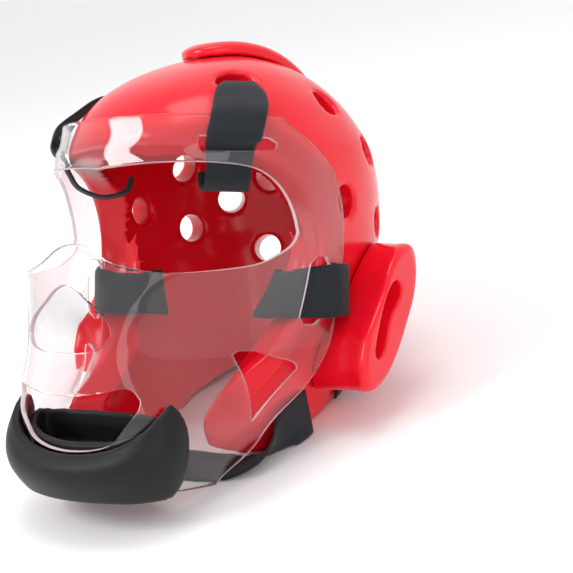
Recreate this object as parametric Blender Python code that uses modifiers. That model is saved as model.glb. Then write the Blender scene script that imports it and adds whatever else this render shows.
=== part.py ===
"""Dipped foam headgear with a clear face shield, standing on its lower rim.

Lengths are metres. The sections are laid out with the face towards -Y and the
wearer's left at +X, nodding forward; the last step levels the lower rim.
"""
import bpy
import bmesh
from math import asin, atan, cos, pi, sin
from mathutils import Matrix, Vector
from mathutils.bvhtree import BVHTree

# Shell
shellHalfWidth = 0.111
shellHalfLength = 0.134
crownHeight = 0.1765
shellMiddle = 0.079      # y of its middle, behind the origin
shellFoam = 0.024
coreHeight = 0.060      # of the head's core; the inside lies towards it
rimRound = 0.007
rimSlope = 0.40          # rise of the lower rim per metre towards the nape
rimDrop = 0.1425         # how far the lower rim's plane passes below the origin
roundness = 2.3          # superellipse power of the plan view

# Crown pad
crownPadHalfWidth = 0.041
crownPadHalfLength = 0.077
crownPadHeight = 0.010
crownPadBack = 0.040     # its middle, behind the shell's middle

# Ear pads
earLength = 0.110
earWidth = 0.082
earReach = 0.143         # of the outer face from the middle plane
earForward = 0.015       # its middle, behind the shell's middle
earDrop = 0.026
earLean = 0.011          # its base lies behind its face
earRound = 0.006
earSlotDepth = 0.014

# Vents
ventRadius = 0.0118
strapHoleRadius = 0.0155

# Face shield
shieldHalfWidth = 0.115
shieldReach = 0.176
shieldHeight = 0.258
shieldThickness = 0.003
shieldTop = 0.113
shieldNose = 0.105       # how far its nose lies before the origin

# Openings of the shield: reach in stations along it, 7 at its rear edge
eyeReach = 5.60
eyeHeight = 0.076
eyeBottom = 0.004
noseReach = 1.74
noseHeight = 0.0455
noseBottom = -0.0493
mouthReach = 2.47
mouthHeight = 0.0445
mouthBottom = -0.1165
sideHoleFront = 5.05
sideHoleReach = 1.33
sideHoleHeight = 0.0485
sideHoleBottom = -0.099
browSlotFront = 3.10
browSlotReach = 2.40
browSlotHeight = 0.011
browSlotBottom = 0.087
cheekSlotFront = 6.04
cheekSlotReach = 0.50
cheekSlotHeight = 0.049
cheekSlotBottom = -0.033

# Chin pad and cup
chinPadThickness = 0.018
chinPadEdge = 0.006
chinCupFoam = 0.006
chinCupBottom = -0.134

# Straps
strapWidth = 0.038
strapThickness = 0.002
napeStrapWidth = 0.026
strapBow = 0.0030        # a strap's edges bend back by this where it rounds the brow
napeRow = 0.80           # the shell section that it lies on
seatGap = 0.0003         # between pieces that lie on each other

# A row for each section of the shell, bottom to top. Shares of the half width,
# half length (from the middle) and crown height.
shellColumns = ("frontX", "frontY", "frontZ", "sideX", "sideZ", "dip", "backY", "backZ")
shellRows = (
    (0.505, -0.709, -0.663, 0.694, -0.635, 0.057, 0.903, -0.363),
    (0.577, -0.821, -0.544, 0.775, -0.499, 0.040, 0.948, -0.227),
    (0.604, -0.619, -0.419, 0.829, -0.351, 0.017, 0.978, -0.091),
    (0.685, -0.366, -0.261, 0.883, -0.198, 0.000, 1.000, 0.045),
    (0.793, -0.224, -0.085, 0.946, -0.045, 0.000, 1.000, 0.170),
    (0.892, -0.157, 0.085, 0.995, 0.102, 0.000, 1.000, 0.261),
    (0.910, -0.209, 0.238, 1.000, 0.238, 0.000, 0.993, 0.340),
    (0.883, -0.321, 0.363, 1.000, 0.351, 0.000, 0.978, 0.414),
    (0.829, -0.485, 0.448, 0.991, 0.436, 0.000, 0.955, 0.482),
    (0.694, -0.709, 0.499, 0.977, 0.499, 0.000, 0.933, 0.538),
    (0.396, -0.903, 0.527, 0.964, 0.544, 0.000, 0.903, 0.584),
    (0.000, -0.963, 0.544, 0.950, 0.578, 0.000, 0.881, 0.612),
    (0.000, -0.937, 0.612, 0.914, 0.629, 0.000, 0.836, 0.663),
    (0.000, -0.881, 0.686, 0.865, 0.691, 0.000, 0.769, 0.714),
    (0.000, -0.799, 0.754, 0.806, 0.751, 0.000, 0.687, 0.771),
    (0.000, -0.694, 0.813, 0.730, 0.807, 0.000, 0.590, 0.824),
    (0.000, -0.567, 0.867, 0.644, 0.858, 0.000, 0.478, 0.873),
    (0.000, -0.433, 0.912, 0.532, 0.907, 0.000, 0.351, 0.918),
    (0.000, -0.284, 0.952, 0.387, 0.949, 0.000, 0.224, 0.955),
    (0.000, -0.142, 0.980, 0.216, 0.980, 0.000, 0.112, 0.982),
)

# A row for each section of the shield, top to bottom: share of the height, then
# (half width, reach behind the nose) shares from the middle to the rear edge.
shieldRows = (
    (0.000, (0.000, 0.256), (0.174, 0.267), (0.348, 0.295), (0.522, 0.364),
     (0.670, 0.455), (0.765, 0.545), (0.826, 0.614), (0.870, 0.676)),
    (0.070, (0.000, 0.239), (0.191, 0.250), (0.383, 0.284), (0.565, 0.358),
     (0.722, 0.460), (0.835, 0.574), (0.913, 0.688), (0.965, 0.812)),
    (0.136, (0.000, 0.222), (0.209, 0.239), (0.400, 0.273), (0.583, 0.352),
     (0.748, 0.466), (0.870, 0.602), (0.948, 0.756), (0.987, 0.938)),
    (0.244, (0.000, 0.159), (0.226, 0.182), (0.426, 0.227), (0.609, 0.318),
     (0.774, 0.449), (0.896, 0.608), (0.965, 0.790), (1.000, 0.994)),
    (0.345, (0.000, 0.074), (0.226, 0.102), (0.435, 0.159), (0.609, 0.250),
     (0.774, 0.403), (0.896, 0.597), (0.965, 0.801), (1.000, 1.000)),
    (0.422, (0.000, 0.034), (0.217, 0.057), (0.417, 0.108), (0.591, 0.199),
     (0.748, 0.369), (0.861, 0.574), (0.939, 0.790), (0.991, 0.989)),
    (0.523, (0.000, 0.011), (0.209, 0.034), (0.383, 0.080), (0.522, 0.182),
     (0.652, 0.358), (0.774, 0.551), (0.904, 0.767), (0.983, 0.960)),
    (0.632, (0.000, 0.000), (0.200, 0.017), (0.365, 0.062), (0.461, 0.165),
     (0.522, 0.347), (0.626, 0.551), (0.826, 0.767), (0.965, 0.915)),
    (0.733, (0.000, 0.006), (0.243, 0.023), (0.426, 0.068), (0.522, 0.165),
     (0.574, 0.324), (0.643, 0.500), (0.791, 0.665), (0.904, 0.812)),
    (0.826, (0.000, 0.017), (0.252, 0.040), (0.443, 0.085), (0.557, 0.170),
     (0.617, 0.301), (0.687, 0.449), (0.757, 0.580), (0.791, 0.682)),
    (0.907, (0.000, 0.045), (0.235, 0.068), (0.417, 0.119), (0.530, 0.205),
     (0.591, 0.312), (0.635, 0.420), (0.670, 0.523), (0.687, 0.625)),
    (1.000, (0.000, 0.142), (0.191, 0.159), (0.348, 0.205), (0.443, 0.273),
     (0.487, 0.347), (0.504, 0.415), (0.513, 0.483), (0.513, 0.551)),
)

# Outlines: shares of the piece's width and height from its middle.
earOutline = (
    (0.366, 0.482), (0.463, 0.418), (0.488, 0.282), (0.427, 0.109), (0.293, -0.064), (0.146, -0.236),
    (-0.049, -0.400), (-0.256, -0.491), (-0.427, -0.482), (-0.500, -0.373), (-0.476, -0.236),
    (-0.415, -0.118), (-0.305, -0.009), (-0.159, 0.136), (-0.037, 0.309), (0.146, 0.445))
earSlot = (
    (0.073, 0.227), (0.159, 0.182), (0.122, 0.100), (0.012, 0.018), (-0.061, -0.064), (-0.110, -0.173),
    (-0.183, -0.264), (-0.280, -0.282), (-0.293, -0.209), (-0.232, -0.073), (-0.134, 0.082), (-0.037, 0.182))

# Openings of the shield, upper and lower edge: shares of the opening's reach
# along the shield and of its height.
eyeUpper = (
    (0.000, 0.968), (0.188, 0.987), (0.420, 1.000), (0.571, 1.000), (0.696, 0.987), (0.795, 0.961), (0.866, 0.901), (0.920, 0.803),
    (0.961, 0.671), (0.986, 0.526), (1.000, 0.382))
eyeLower = (
    (0.000, 0.263), (0.062, 0.250), (0.134, 0.197), (0.188, 0.132), (0.250, 0.079), (0.348, 0.039), (0.464, 0.007), (0.571, 0.000),
    (0.696, 0.020), (0.804, 0.053), (0.866, 0.092), (0.916, 0.158), (0.961, 0.230), (0.986, 0.289), (1.000, 0.368))
noseUpper = (
    (0.000, 1.000), (0.218, 0.926), (0.460, 0.750), (0.747, 0.565), (0.931, 0.413), (1.000, 0.283))
noseLower = (
    (0.000, 0.000), (0.345, 0.000), (0.632, 0.033), (0.862, 0.109), (1.000, 0.261))
mouthUpper = (
    (0.000, 0.854), (0.202, 0.865), (0.364, 0.894), (0.547, 0.942), (0.729, 0.987), (0.850, 1.000), (0.943, 0.944), (1.000, 0.820))
mouthLower = (
    (0.000, 0.000), (0.202, 0.018), (0.385, 0.067), (0.547, 0.157), (0.709, 0.393), (0.850, 0.562), (0.951, 0.685), (1.000, 0.798))
sideUpper = (
    (0.000, 0.948), (0.053, 0.996), (0.150, 1.000), (0.564, 0.907), (0.917, 0.814), (1.000, 0.742))
sideLower = (
    (0.000, 0.928), (0.075, 0.835), (0.338, 0.464), (0.586, 0.052), (0.647, 0.000), (0.699, 0.052), (0.902, 0.474), (1.000, 0.722))

# Vents: where each lies on the shell, as shares of half width, half length from
# the middle and crown height.
vents = (
    {"x": 0.620, "y": 0.075, "z": 0.674},
    {"x": 0.814, "y": 0.380, "z": 0.556},
    {"x": 0.938, "y": 0.022, "z": 0.325},
    {"x": 0.920, "y": 0.507, "z": 0.255},
    {"x": 0.560, "y": 0.640, "z": 0.680},
    {"x": 0.700, "y": 0.810, "z": 0.420},
    {"x": 0.300, "y": 0.930, "z": 0.560},
    {"x": 0.380, "y": 0.980, "z": 0.150},
)
strapHole = {"x": 0.560, "y": -0.500, "z": 0.790}

# Strap paths, a row for each station: the middle line in shares of the shell's half
# width, half length from its middle and crown height, the share of the strap's
# width there, and the direction of its width.
foreheadStrapPath = (
    (0.541, -0.478, 0.754, 0.520, 0.660, 0.750, 0.000),
    (0.586, -0.516, 0.793, 0.560, 0.660, 0.750, 0.000),
    (0.644, -0.567, 0.773, 0.850, 0.660, 0.750, 0.000),
    (0.716, -0.638, 0.720, 1.000, 0.660, 0.750, 0.000),
    (0.784, -0.728, 0.654, 1.000, 0.660, 0.750, 0.000),
    (0.795, -0.763, 0.589, 1.000, 0.660, 0.750, 0.000),
    (0.782, -0.772, 0.550, 1.000, 0.660, 0.750, 0.000),
    (0.748, -0.757, 0.521, 0.950, 0.660, 0.750, 0.000),
    (0.721, -0.739, 0.493, 0.900, 0.660, 0.750, 0.000),
    (0.698, -0.720, 0.453, 0.850, 0.660, 0.750, 0.000),
    (0.649, -0.679, 0.391, 0.850, 0.660, 0.750, 0.000),
    (0.541, -0.582, 0.357, 0.850, 0.660, 0.750, 0.000),
    (0.423, -0.493, 0.385, 0.850, 0.660, 0.750, 0.000),
    (0.396, -0.470, 0.442, 0.850, 0.660, 0.750, 0.000),
)
cheekStrapPath = (
    (0.495, -0.052, -0.062, 1.000, 0.200, 0.300, 0.930),
    (0.495, -0.142, -0.062, 1.000, 0.250, 0.400, 0.880),
    (0.536, -0.224, -0.062, 1.000, 0.280, 0.420, 0.860),
    (0.640, -0.284, -0.062, 1.000, 0.280, 0.420, 0.860),
    (0.766, -0.306, -0.059, 0.970, 0.280, 0.420, 0.860),
    (0.860, -0.291, -0.057, 0.950, 0.200, 0.300, 0.930),
    (0.937, -0.257, -0.054, 0.970, 0.100, 0.100, 1.000),
    (1.014, -0.205, -0.051, 1.000, 0.000, 0.000, 1.000),
    (1.054, -0.134, -0.045, 1.000, 0.000, 0.000, 1.000),
    (1.052, -0.067, -0.045, 1.000, 0.000, 0.000, 1.000),
    (1.040, -0.022, -0.045, 1.000, 0.000, 0.000, 1.000),
)
chinStrapPath = (
    (0.815, -0.127, -0.550, 0.900, 0.000, -0.550, 0.830),
    (0.813, -0.209, -0.572, 0.950, 0.000, -0.660, 0.750),
    (0.793, -0.299, -0.609, 0.920, 0.000, -0.850, 0.500),
    (0.748, -0.373, -0.669, 0.740, 0.000, -0.990, -0.150),
    (0.676, -0.466, -0.729, 0.700, 0.000, -0.950, -0.450),
    (0.541, -0.496, -0.768, 0.860, 0.000, -0.930, -0.390),
    (0.405, -0.500, -0.772, 0.900, 0.000, -0.930, -0.370),
    (0.225, -0.507, -0.775, 0.950, 0.000, -0.930, -0.370),
    (0.000, -0.515, -0.776, 1.000, 0.000, -0.930, -0.370),
    (-0.225, -0.507, -0.775, 0.950, 0.000, -0.930, -0.370),
    (-0.405, -0.500, -0.772, 0.900, 0.000, -0.930, -0.370),
    (-0.541, -0.496, -0.768, 0.860, 0.000, -0.930, -0.390),
    (-0.676, -0.466, -0.729, 0.700, 0.000, -0.950, -0.450),
    (-0.748, -0.373, -0.669, 0.740, 0.000, -0.990, -0.150),
    (-0.793, -0.299, -0.609, 0.920, 0.000, -0.850, 0.500),
    (-0.813, -0.209, -0.572, 0.950, 0.000, -0.660, 0.750),
    (-0.815, -0.127, -0.550, 0.900, 0.000, -0.550, 0.830),
)

openings = (
    {"name": "eye opening", "from": 0, "reach": eyeReach, "bottom": eyeBottom, "height": eyeHeight,
     "upper": eyeUpper, "lower": eyeLower},
    {"name": "nose opening", "from": 0, "reach": noseReach, "bottom": noseBottom, "height": noseHeight,
     "upper": noseUpper, "lower": noseLower},
    {"name": "mouth opening", "from": 0, "reach": mouthReach, "bottom": mouthBottom, "height": mouthHeight,
     "upper": mouthUpper, "lower": mouthLower},
    {"name": "side hole", "from": sideHoleFront, "reach": sideHoleReach, "bottom": sideHoleBottom,
     "height": sideHoleHeight, "upper": sideUpper, "lower": sideLower},
    {"name": "brow slot", "from": browSlotFront, "reach": browSlotReach, "bottom": browSlotBottom,
     "height": browSlotHeight, "upper": ((0, 0.6), (0.03, 1), (0.9, 1), (1, 0.7)),
     "lower": ((0, 0.4), (0.03, 0), (0.9, 0.2), (1, 0.6))},
    {"name": "cheek slot", "from": cheekSlotFront, "reach": cheekSlotReach, "bottom": cheekSlotBottom,
     "height": cheekSlotHeight, "upper": ((0, 0.9), (0.3, 1), (0.7, 1), (1, 0.9)),
     "lower": ((0, 0.1), (0.3, 0), (0.7, 0), (1, 0.1))},
)

parts = {}
cutters = {}


def newCollection(name):
    collection = bpy.data.collections.new(name)
    bpy.context.scene.collection.children.link(collection)
    return collection


def meshFrom(name, vertices, faces):
    mesh = bpy.data.meshes.new(name)
    mesh.from_pydata([tuple(v) for v in vertices], [], faces)
    work = bmesh.new()
    work.from_mesh(mesh)
    bmesh.ops.remove_doubles(work, verts=work.verts, dist=0.00002)
    bmesh.ops.recalc_face_normals(work, faces=work.faces)
    work.to_mesh(mesh)
    work.free()
    return mesh


def addPiece(name, vertices, faces, table, collection):
    piece = bpy.data.objects.new(name, meshFrom(name, vertices, faces))
    collection.objects.link(piece)
    table[name] = piece
    return piece


def curveThrough(rows, where):
    """Catmull-Rom value of equal-length rows at a place from 0 to the last."""
    last = len(rows) - 1
    where = min(max(where, 0.0), last)
    i = min(int(where), last - 1)
    t = where - i
    a, b, c, d = (rows[min(max(i + k, 0), last)] for k in (-1, 0, 1, 2))
    return tuple(0.5 * (2 * q + (r - p) * t + (2 * p - 5 * q + 4 * r - s) * t * t + (3 * q - p - 3 * r + s) * t ** 3)
                 for p, q, r, s in zip(a, b, c, d))


def closedCurve(points, count):
    """Smooth closed outline through the points, evenly stepped."""
    n = len(points)
    ring = [points[(k - 2) % n] for k in range(n + 5)]
    return [curveThrough(ring, 2 + n * k / count) for k in range(count)]


def superPoint(width, length, angle):
    x = width * abs(sin(angle)) ** (2 / roundness)
    y = length * abs(cos(angle)) ** (2 / roundness)
    return x, -y if cos(angle) > 0 else y


def shellPoint(where, turn):
    """A point of the right outer surface: rows 0 to 19, turn 0 at the front edge to 1 at the back."""
    row = dict(zip(shellColumns, curveThrough(shellRows, where)))
    width = row["sideX"] * shellHalfWidth
    reach = -row["frontY"] * shellHalfLength
    full = max(reach, -shellRows[browRow][1] * shellHalfLength) if where < browRow else reach
    start = asin(min(max(row["frontX"] * shellHalfWidth / width, 0.0), 1.0) ** (roundness / 2))
    angle = start + (pi - start) * turn
    if angle < pi / 2:
        share = (pi / 2 - angle) / (pi / 2 - start)
        x, y = superPoint(width, full, angle)
        y += (-reach - superPoint(width, full, start)[1]) * share * share
        q = min(max(-y / reach, 0.0), 1.0)
        z = row["sideZ"] + (row["frontZ"] - row["sideZ"]) * q - row["dip"] * 4 * q * (1 - q)
    else:
        back = row["backY"] * shellHalfLength
        x, y = superPoint(width, back, angle)
        z = row["sideZ"] + (row["backZ"] - row["sideZ"]) * y / back
    return Vector((x, y + shellMiddle, z * crownHeight))


def shellSurface(rowSteps, turnSteps):
    """Vertices and faces of the whole outer surface, closed at the crown."""
    last = len(shellRows) - 1
    vertices, faces = [], []
    for j in range(rowSteps + 1):
        half = [shellPoint(last * j / rowSteps, i / turnSteps) for i in range(turnSteps + 1)]
        vertices += half + [Vector((-p.x, p.y, p.z)) for p in reversed(half[:-1])]
    ring = 2 * turnSteps + 1
    for j in range(rowSteps):
        for i in range(ring - 1):
            a = j * ring + i
            faces.append((a, a + 1, a + 1 + ring, a + ring))
    crown = len(vertices)
    vertices.append(Vector((0, shellMiddle, crownHeight)))
    for i in range(ring - 1):
        a = rowSteps * ring + i
        faces.append((a, a + 1, crown))
    return vertices, faces


def shieldPoint(share, station, side=1):
    """Outer surface of the shield: share of its height from the top, station 0 (middle) to 7 (edge)."""
    shares = [row[0] for row in shieldRows]
    i = max(k for k in range(len(shares) - 1) if shares[k] <= share or k == 0)
    where = i + (share - shares[i]) / (shares[i + 1] - shares[i])
    flat = [tuple(v for point in row[1:] for v in point) for row in shieldRows]
    row = curveThrough(flat, where)
    points = [(row[2 * k], row[2 * k + 1]) for k in range(len(row) // 2)]
    points = [(-points[1][0], points[1][1])] + points
    x, y = curveThrough(points, min(abs(station), 7) + 1)
    side = side if station >= 0 else -side
    return Vector((side * x * shieldHalfWidth, y * shieldReach - shieldNose, shieldTop - share * shieldHeight))


def shieldNormal(share, station):
    step = 0.01
    lower, upper = min(share + step, 1.0), max(share - step, 0.0)
    up = shieldPoint(upper, station) - shieldPoint(lower, station)
    right = min(station + step * 4, 7)
    left = max(station - step * 4, -7)
    along = shieldPoint(share, right) - shieldPoint(share, left)
    return along.cross(up).normalized()


def heightShare(z):
    return (shieldTop - z) / shieldHeight


def treeOf(vertices, faces):
    return BVHTree.FromPolygons([tuple(v) for v in vertices], faces)


def gridFaces(rows, columns, first=0, closed=False):
    faces = []
    for j in range(rows - 1):
        for i in range(columns if closed else columns - 1):
            a = first + j * columns + i
            b = first + j * columns + (i + 1) % columns
            faces.append((a, b, b + columns, a + columns))
    return faces


def slabFaces(rows, columns):
    """Faces of a solid whose front and back are equal grids, one after the other."""
    n = rows * columns
    faces = gridFaces(rows, columns) + gridFaces(rows, columns, n)
    rim = [i for i in range(columns)] + [columns - 1 + j * columns for j in range(1, rows)]
    rim += [(rows - 1) * columns + i for i in range(columns - 2, -1, -1)]
    rim += [j * columns for j in range(rows - 2, 0, -1)]
    for a, b in zip(rim, rim[1:] + rim[:1]):
        faces.append((a, b, b + n, a + n))
    return faces


def slab(name, front, back, rows, columns):
    return addPiece(name, front + back, slabFaces(rows, columns), parts, partCollection)


def prism(name, outline, low, high, place, table, collection):
    """Closed prism of a plane outline; place turns (u, v, depth) into a point."""
    n = len(outline)
    vertices = [place(u, v, low) for u, v in outline] + [place(u, v, high) for u, v in outline]
    faces = [(i, (i + 1) % n, (i + 1) % n + n, i + n) for i in range(n)]
    faces += [tuple(range(n)), tuple(range(2 * n - 1, n - 1, -1))]
    return addPiece(name, vertices, faces, table, collection)


def cut(piece, cutter):
    cutter.hide_render = True
    cutter.display_type = "WIRE"
    step = piece.modifiers.new(cutter.name, "BOOLEAN")
    step.operation = "DIFFERENCE"
    step.solver = "EXACT"
    step.object = cutter


def roundRim(piece, width, limit, segments=2):
    bevel = piece.modifiers.new("round rim", "BEVEL")
    bevel.width = width
    bevel.segments = segments
    bevel.limit_method = "ANGLE"
    bevel.angle_limit = limit


def thickShell(name, vertices, faces, thickness):
    """A solid with the sheet as its outside; its inside lies towards the head's core."""
    sheet = bmesh.new()
    spots = [sheet.verts.new(v) for v in vertices]
    for face in faces:
        sheet.faces.new([spots[i] for i in face])
    bmesh.ops.remove_doubles(sheet, verts=sheet.verts, dist=1e-5)
    bmesh.ops.recalc_face_normals(sheet, faces=sheet.faces)
    sheet.normal_update()
    sheet.verts.index_update()
    outer, inner = [], []
    for spot in sheet.verts:
        core = Vector((0, shellMiddle, min(spot.co.z, coreHeight)))
        inward = (core - spot.co).normalized()
        outer.append(spot.co.copy())
        inner.append(spot.co + inward * thickness / max(abs(inward.dot(spot.normal)), 0.8))
    n = len(outer)
    skin = [tuple(v.index for v in face.verts) for face in sheet.faces]
    skin += [tuple(i + n for i in face) for face in skin]
    skin += [(e.verts[0].index, e.verts[1].index, e.verts[1].index + n, e.verts[0].index + n)
             for e in sheet.edges if len(e.link_faces) == 1]
    sheet.free()
    return addPiece(name, outer + inner, skin, parts, partCollection)


def edgeAt(edge, share):
    """Height of an opening's edge at a share of its reach."""
    for (s, v), (nextS, nextV) in zip(edge, edge[1:]):
        if share <= nextS:
            return v + (nextV - v) * (share - s) / (nextS - s)
    return edge[-1][1]


def openingCutter(hole, side, rows=5):
    """A slab through the shield between the opening's lower and upper edge."""
    shares = sorted({s for s, _ in hole["upper"]} | {s for s, _ in hole["lower"]})
    shares = [s for s, following in zip(shares, shares[1:] + [2]) if following - s > 0.012]
    if hole["from"] == 0:
        shares = [-s for s in shares[:0:-1]] + shares
    outside, inside = [], []
    for j in range(rows):
        for share in shares:
            low, high = edgeAt(hole["lower"], abs(share)), edgeAt(hole["upper"], abs(share))
            z = hole["bottom"] + (low + (high - low) * j / (rows - 1)) * hole["height"]
            station = hole["from"] + share * hole["reach"]
            point = shieldPoint(heightShare(z), station, side)
            normal = shieldNormal(heightShare(z), station)
            normal.x *= side
            outside.append(point + normal * 2 * shieldThickness)
            inside.append(point - normal * 3 * shieldThickness)
    return addPiece(hole["name"] + (" left" if side > 0 else " right"), outside + inside,
                    slabFaces(rows, len(shares)), cutters, cutterCollection)


def frameAt(point, normal):
    across = Vector((0, 0, 1)).cross(normal).normalized()
    return across, normal.cross(across)


def drill(name, point, normal, radius, depth, stretch=1.0):
    """Round cutter along the normal, through the surface point."""
    across, up = frameAt(point, normal)
    outline = [(radius * stretch * cos(2 * pi * k / 14), radius * sin(2 * pi * k / 14)) for k in range(14)]
    place = lambda u, v, w: point + across * u + up * v + normal * w
    return prism(name, outline, -depth, depth / 2, place, cutters, cutterCollection)


def onShell(x, y, z):
    """The shell's outer point and normal in the direction of the given shares."""
    middle = Vector((0, shellMiddle, 0.1 * crownHeight))
    aim = Vector((x * shellHalfWidth, y * shellHalfLength + shellMiddle, z * crownHeight))
    point, normal, _, _ = shellTree.ray_cast(middle, (aim - middle).normalized())
    return point, normal if normal.dot(aim - middle) > 0 else -normal


def ribbon(name, rows, width, thickness, steps, bow=0.0):
    """A flat strap through rows of (x, y, z, width share, width direction)."""
    front, back = [], []
    last = len(rows) - 1
    for k in range(steps + 1):
        row = curveThrough(rows, last * k / steps)
        middle = Vector(row[:3])
        ahead = Vector(curveThrough(rows, last * k / steps + 0.05)[:3])
        behind = Vector(curveThrough(rows, last * k / steps - 0.05)[:3])
        along = (ahead - behind).normalized()
        across = Vector(row[4:])
        across = (across - along * across.dot(along)).normalized()
        normal = along.cross(across)
        bend = normal * normal.dot(Vector((middle.x, middle.y - shellMiddle, 0)).normalized()) * bow
        for side in (-0.5, 0, 0.5):
            spot = middle + across * side * width * row[3] - bend * (2 * side) ** 2
            front.append(spot + normal * thickness / 2)
            back.append(spot - normal * thickness / 2)
    return slab(name, front, back, steps + 1, 3)


def mirrorPiece(source, name):
    """The same piece on the other side, as a solid of its own."""
    mesh = source.data.copy()
    mesh.name = name
    mesh.transform(Matrix.Scale(-1, 4, (1, 0, 0)))
    mesh.flip_normals()
    piece = bpy.data.objects.new(name, mesh)
    partCollection.objects.link(piece)
    parts[name] = piece
    return piece


def settle(piece):
    """Works out the modifiers and keeps their result as the mesh."""
    bpy.context.view_layer.update()
    done = piece.evaluated_get(bpy.context.evaluated_depsgraph_get())
    mesh = bpy.data.meshes.new_from_object(done)
    piece.modifiers.clear()
    piece.data = mesh
    mesh.name = piece.name


# Scene
for old in list(bpy.data.objects):
    bpy.data.objects.remove(old)
partCollection = newCollection("headgear")
cutterCollection = newCollection("cutters")

# Shell: a hood of thick foam
browRow = 11
outerVertices, outerFaces = shellSurface(20, 14)
shellTree = treeOf(outerVertices, outerFaces)
shell = thickShell("shell", outerVertices, outerFaces, shellFoam)


for count, vent in enumerate(vents):
    for side in (1, -1):
        point, normal = onShell(side * vent["x"], vent["y"], vent["z"])
        name = "vent %d %s" % (count + 1, "left" if side > 0 else "right")
        cut(shell, drill(name, point, normal, ventRadius, shellFoam * 1.6))
for side in (1, -1):
    point, normal = onShell(side * strapHole["x"], strapHole["y"], strapHole["z"])
    cut(shell, drill("strap hole %s" % ("left" if side > 0 else "right"), point, normal,
                     strapHoleRadius, shellFoam * 1.6))

floorSide = 0.6
place = lambda u, v, w: Vector((u, v * cos(atan(rimSlope)) - w * sin(atan(rimSlope)),
                                v * sin(atan(rimSlope)) + w * cos(atan(rimSlope)) - rimDrop))
square = ((-floorSide, -floorSide), (floorSide, -floorSide), (floorSide, floorSide), (-floorSide, floorSide))
floorCutter = prism("floor level", square, -0.1, 0.0, place, cutters, cutterCollection)
cut(shell, floorCutter)

# Crown pad: a raised oval that follows the dome
rings, spokes = 7, 26
padTop, padBase = [], []
for j in range(rings + 1):
    share = (1, 0.94, 0.84, 0.68, 0.51, 0.34, 0.17, 0)[j]
    rise = (0.35, 0.85, 1.0, 1.0, 1.0, 1.0, 1.0, 1.0)[j]
    for k in range(spokes):
        turn = 2 * pi * k / spokes
        spot = Vector((share * crownPadHalfWidth * sin(turn),
                       shellMiddle + crownPadBack - share * crownPadHalfLength * cos(turn), 1.0))
        base, normal, _, _ = shellTree.ray_cast(spot, Vector((0, 0, -1)))
        normal = normal if normal.z > 0 else -normal
        padBase.append(base + normal * seatGap * 3)
        padTop.append(base + normal * (seatGap * 3 + crownPadHeight * rise))
n = (rings + 1) * spokes
faces = gridFaces(rings + 1, spokes, 0, True) + gridFaces(rings + 1, spokes, n, True)
faces += [(k, (k + 1) % spokes, (k + 1) % spokes + n, k + n) for k in range(spokes)]
crownPad = addPiece("crown_pad", padTop + padBase, faces, parts, partCollection)

# Ear pads: bean-shaped, hollowed by a slot
def earRing(outline, grow, reach):
    ring = []
    for u, v in outline:
        lean = earLean if reach is None else earLean * (earReach - reach) / (earReach - shellHalfWidth)
        y = shellMiddle + earForward + lean + u * grow * earWidth
        z = -earDrop + v * grow * earLength
        if reach is None:
            point, normal, _, _ = shellTree.ray_cast(Vector((0.5, y, z)), Vector((-1, 0, 0)))
            ring.append(point + Vector((seatGap * 3, 0, 0)))
        else:
            ring.append(Vector((reach, y, z)))
    return ring


earCurve = closedCurve(earOutline, 24)
inset = 1 - 2 * earRound / earWidth
levels = (
    (0.0, None), (0.35, None), (0.7, None), (1.02, None),
    (1.0, earReach - 3 * earRound), (1.0, earReach - earRound), (1 - (1 - inset) * 0.35, earReach - earRound * 0.3),
    (inset, earReach), (0.6, earReach), (0.3, earReach), (0.0, earReach))
vertices = [p for grow, reach in levels for p in earRing(earCurve, grow, reach)]
earLeft = addPiece("ear_pad_left", vertices, gridFaces(len(levels), len(earCurve), 0, True), parts, partCollection)
place = lambda u, v, w: Vector((w, shellMiddle + earForward + u * earWidth, -earDrop + v * earLength))
cut(earLeft, prism("ear slot", closedCurve(earSlot, 16), earReach - earSlotDepth, earReach + 0.02, place,
                   cutters, cutterCollection))

# Face shield: thin clear wall with openings
across, tall = 28, 20
front, back = [], []
for j in range(tall + 1):
    for i in range(across + 1):
        station = 7 * (2 * i / across - 1)
        front.append(shieldPoint(j / tall, station))
        back.append(front[-1] - shieldNormal(j / tall, station) * shieldThickness)
shield = slab("face_shield", front, back, tall + 1, across + 1)
for hole in openings:
    for side in ((1,) if hole["from"] == 0 else (1, -1)):
        cut(shield, openingCutter(hole, side))

# Chin pad: thick bumper over the shield's chin
padReach, padRows, padColumns = 3.75, 9, 21
outer, inner = [], []
bottomShare = 1.0
for j in range(padRows):
    v = j / (padRows - 1)
    swell = (0.0, 0.55, 0.84, 0.97, 1.0, 1.0, 0.96, 0.82, 0.45)[j]
    reach = padReach * (1 - 0.13 * abs(2 * v - 1) ** 3)
    for i in range(padColumns):
        u = 2 * i / (padColumns - 1) - 1
        topShare = heightShare(mouthBottom + 0.033 * abs(u) ** 2.2)
        share = topShare + (bottomShare - topShare) * v
        point = shieldPoint(share, reach * u)
        normal = shieldNormal(share, reach * u)
        bulge = chinPadEdge + (chinPadThickness - chinPadEdge) * swell * (1 - abs(u) ** 5)
        outer.append(point + normal * (seatGap * 5 + bulge))
        inner.append(point + normal * seatGap * 5)
chinPad = slab("chin_pad", outer, inner, padRows, padColumns)

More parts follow.
